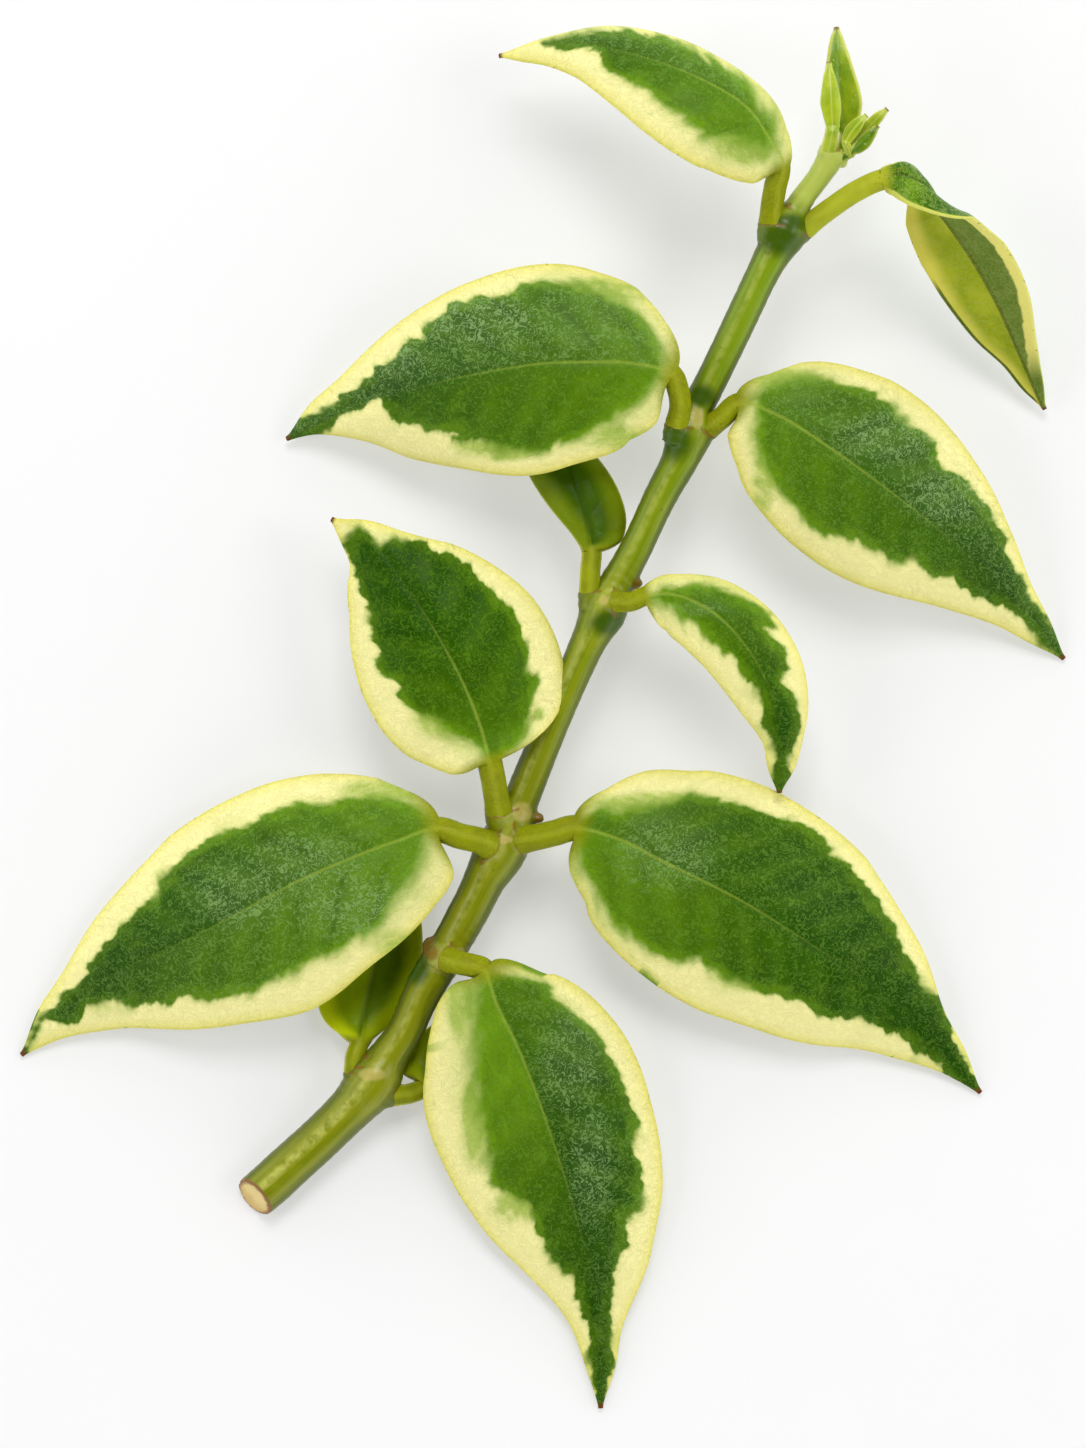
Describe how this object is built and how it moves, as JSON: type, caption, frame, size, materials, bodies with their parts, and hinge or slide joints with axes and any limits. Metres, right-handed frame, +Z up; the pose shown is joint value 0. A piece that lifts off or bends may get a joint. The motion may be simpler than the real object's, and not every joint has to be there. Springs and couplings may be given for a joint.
{
  "type": "hoya cutting",
  "caption": "Leafy cutting of a variegated wax plant, with a green stem, opposite pairs of thick cream-edged leaves and a pointed bud, lying on a surface.",
  "frame": {"origin": "bottom centre of the bounding box, on the surface that the cutting lies on", "axes": "+Z up from the surface, +Y along the long side of the box, from the cut end of the stem towards the bud, +X to the right seen from above"},
  "size_m": [0.1306, 0.1708, 0.025],
  "materials": {
    "stem_skin": "satin",
    "variegated_leaf": "satin",
    "green_leaf": "satin",
    "young_leaf": "satin"
  },
  "bodies": {
    "root": {"stem": "stem_skin", "leaf_2_right": "variegated_leaf", "leaf_3_left": "variegated_leaf", "leaf_3_right": "variegated_leaf", "leaf_3_up": "variegated_leaf", "leaf_4_right": "variegated_leaf", "leaf_5_left": "variegated_leaf", "leaf_5_right": "variegated_leaf", "leaf_6_left": "variegated_leaf", "leaf_6_right": "variegated_leaf", "leaf_1_left": "green_leaf", "leaf_1_right": "green_leaf", "leaf_4_left": "green_leaf", "tip_leaf_back": "young_leaf", "tip_leaf_front": "young_leaf", "side_shoot": "young_leaf"}
  },
  "joints": []
}
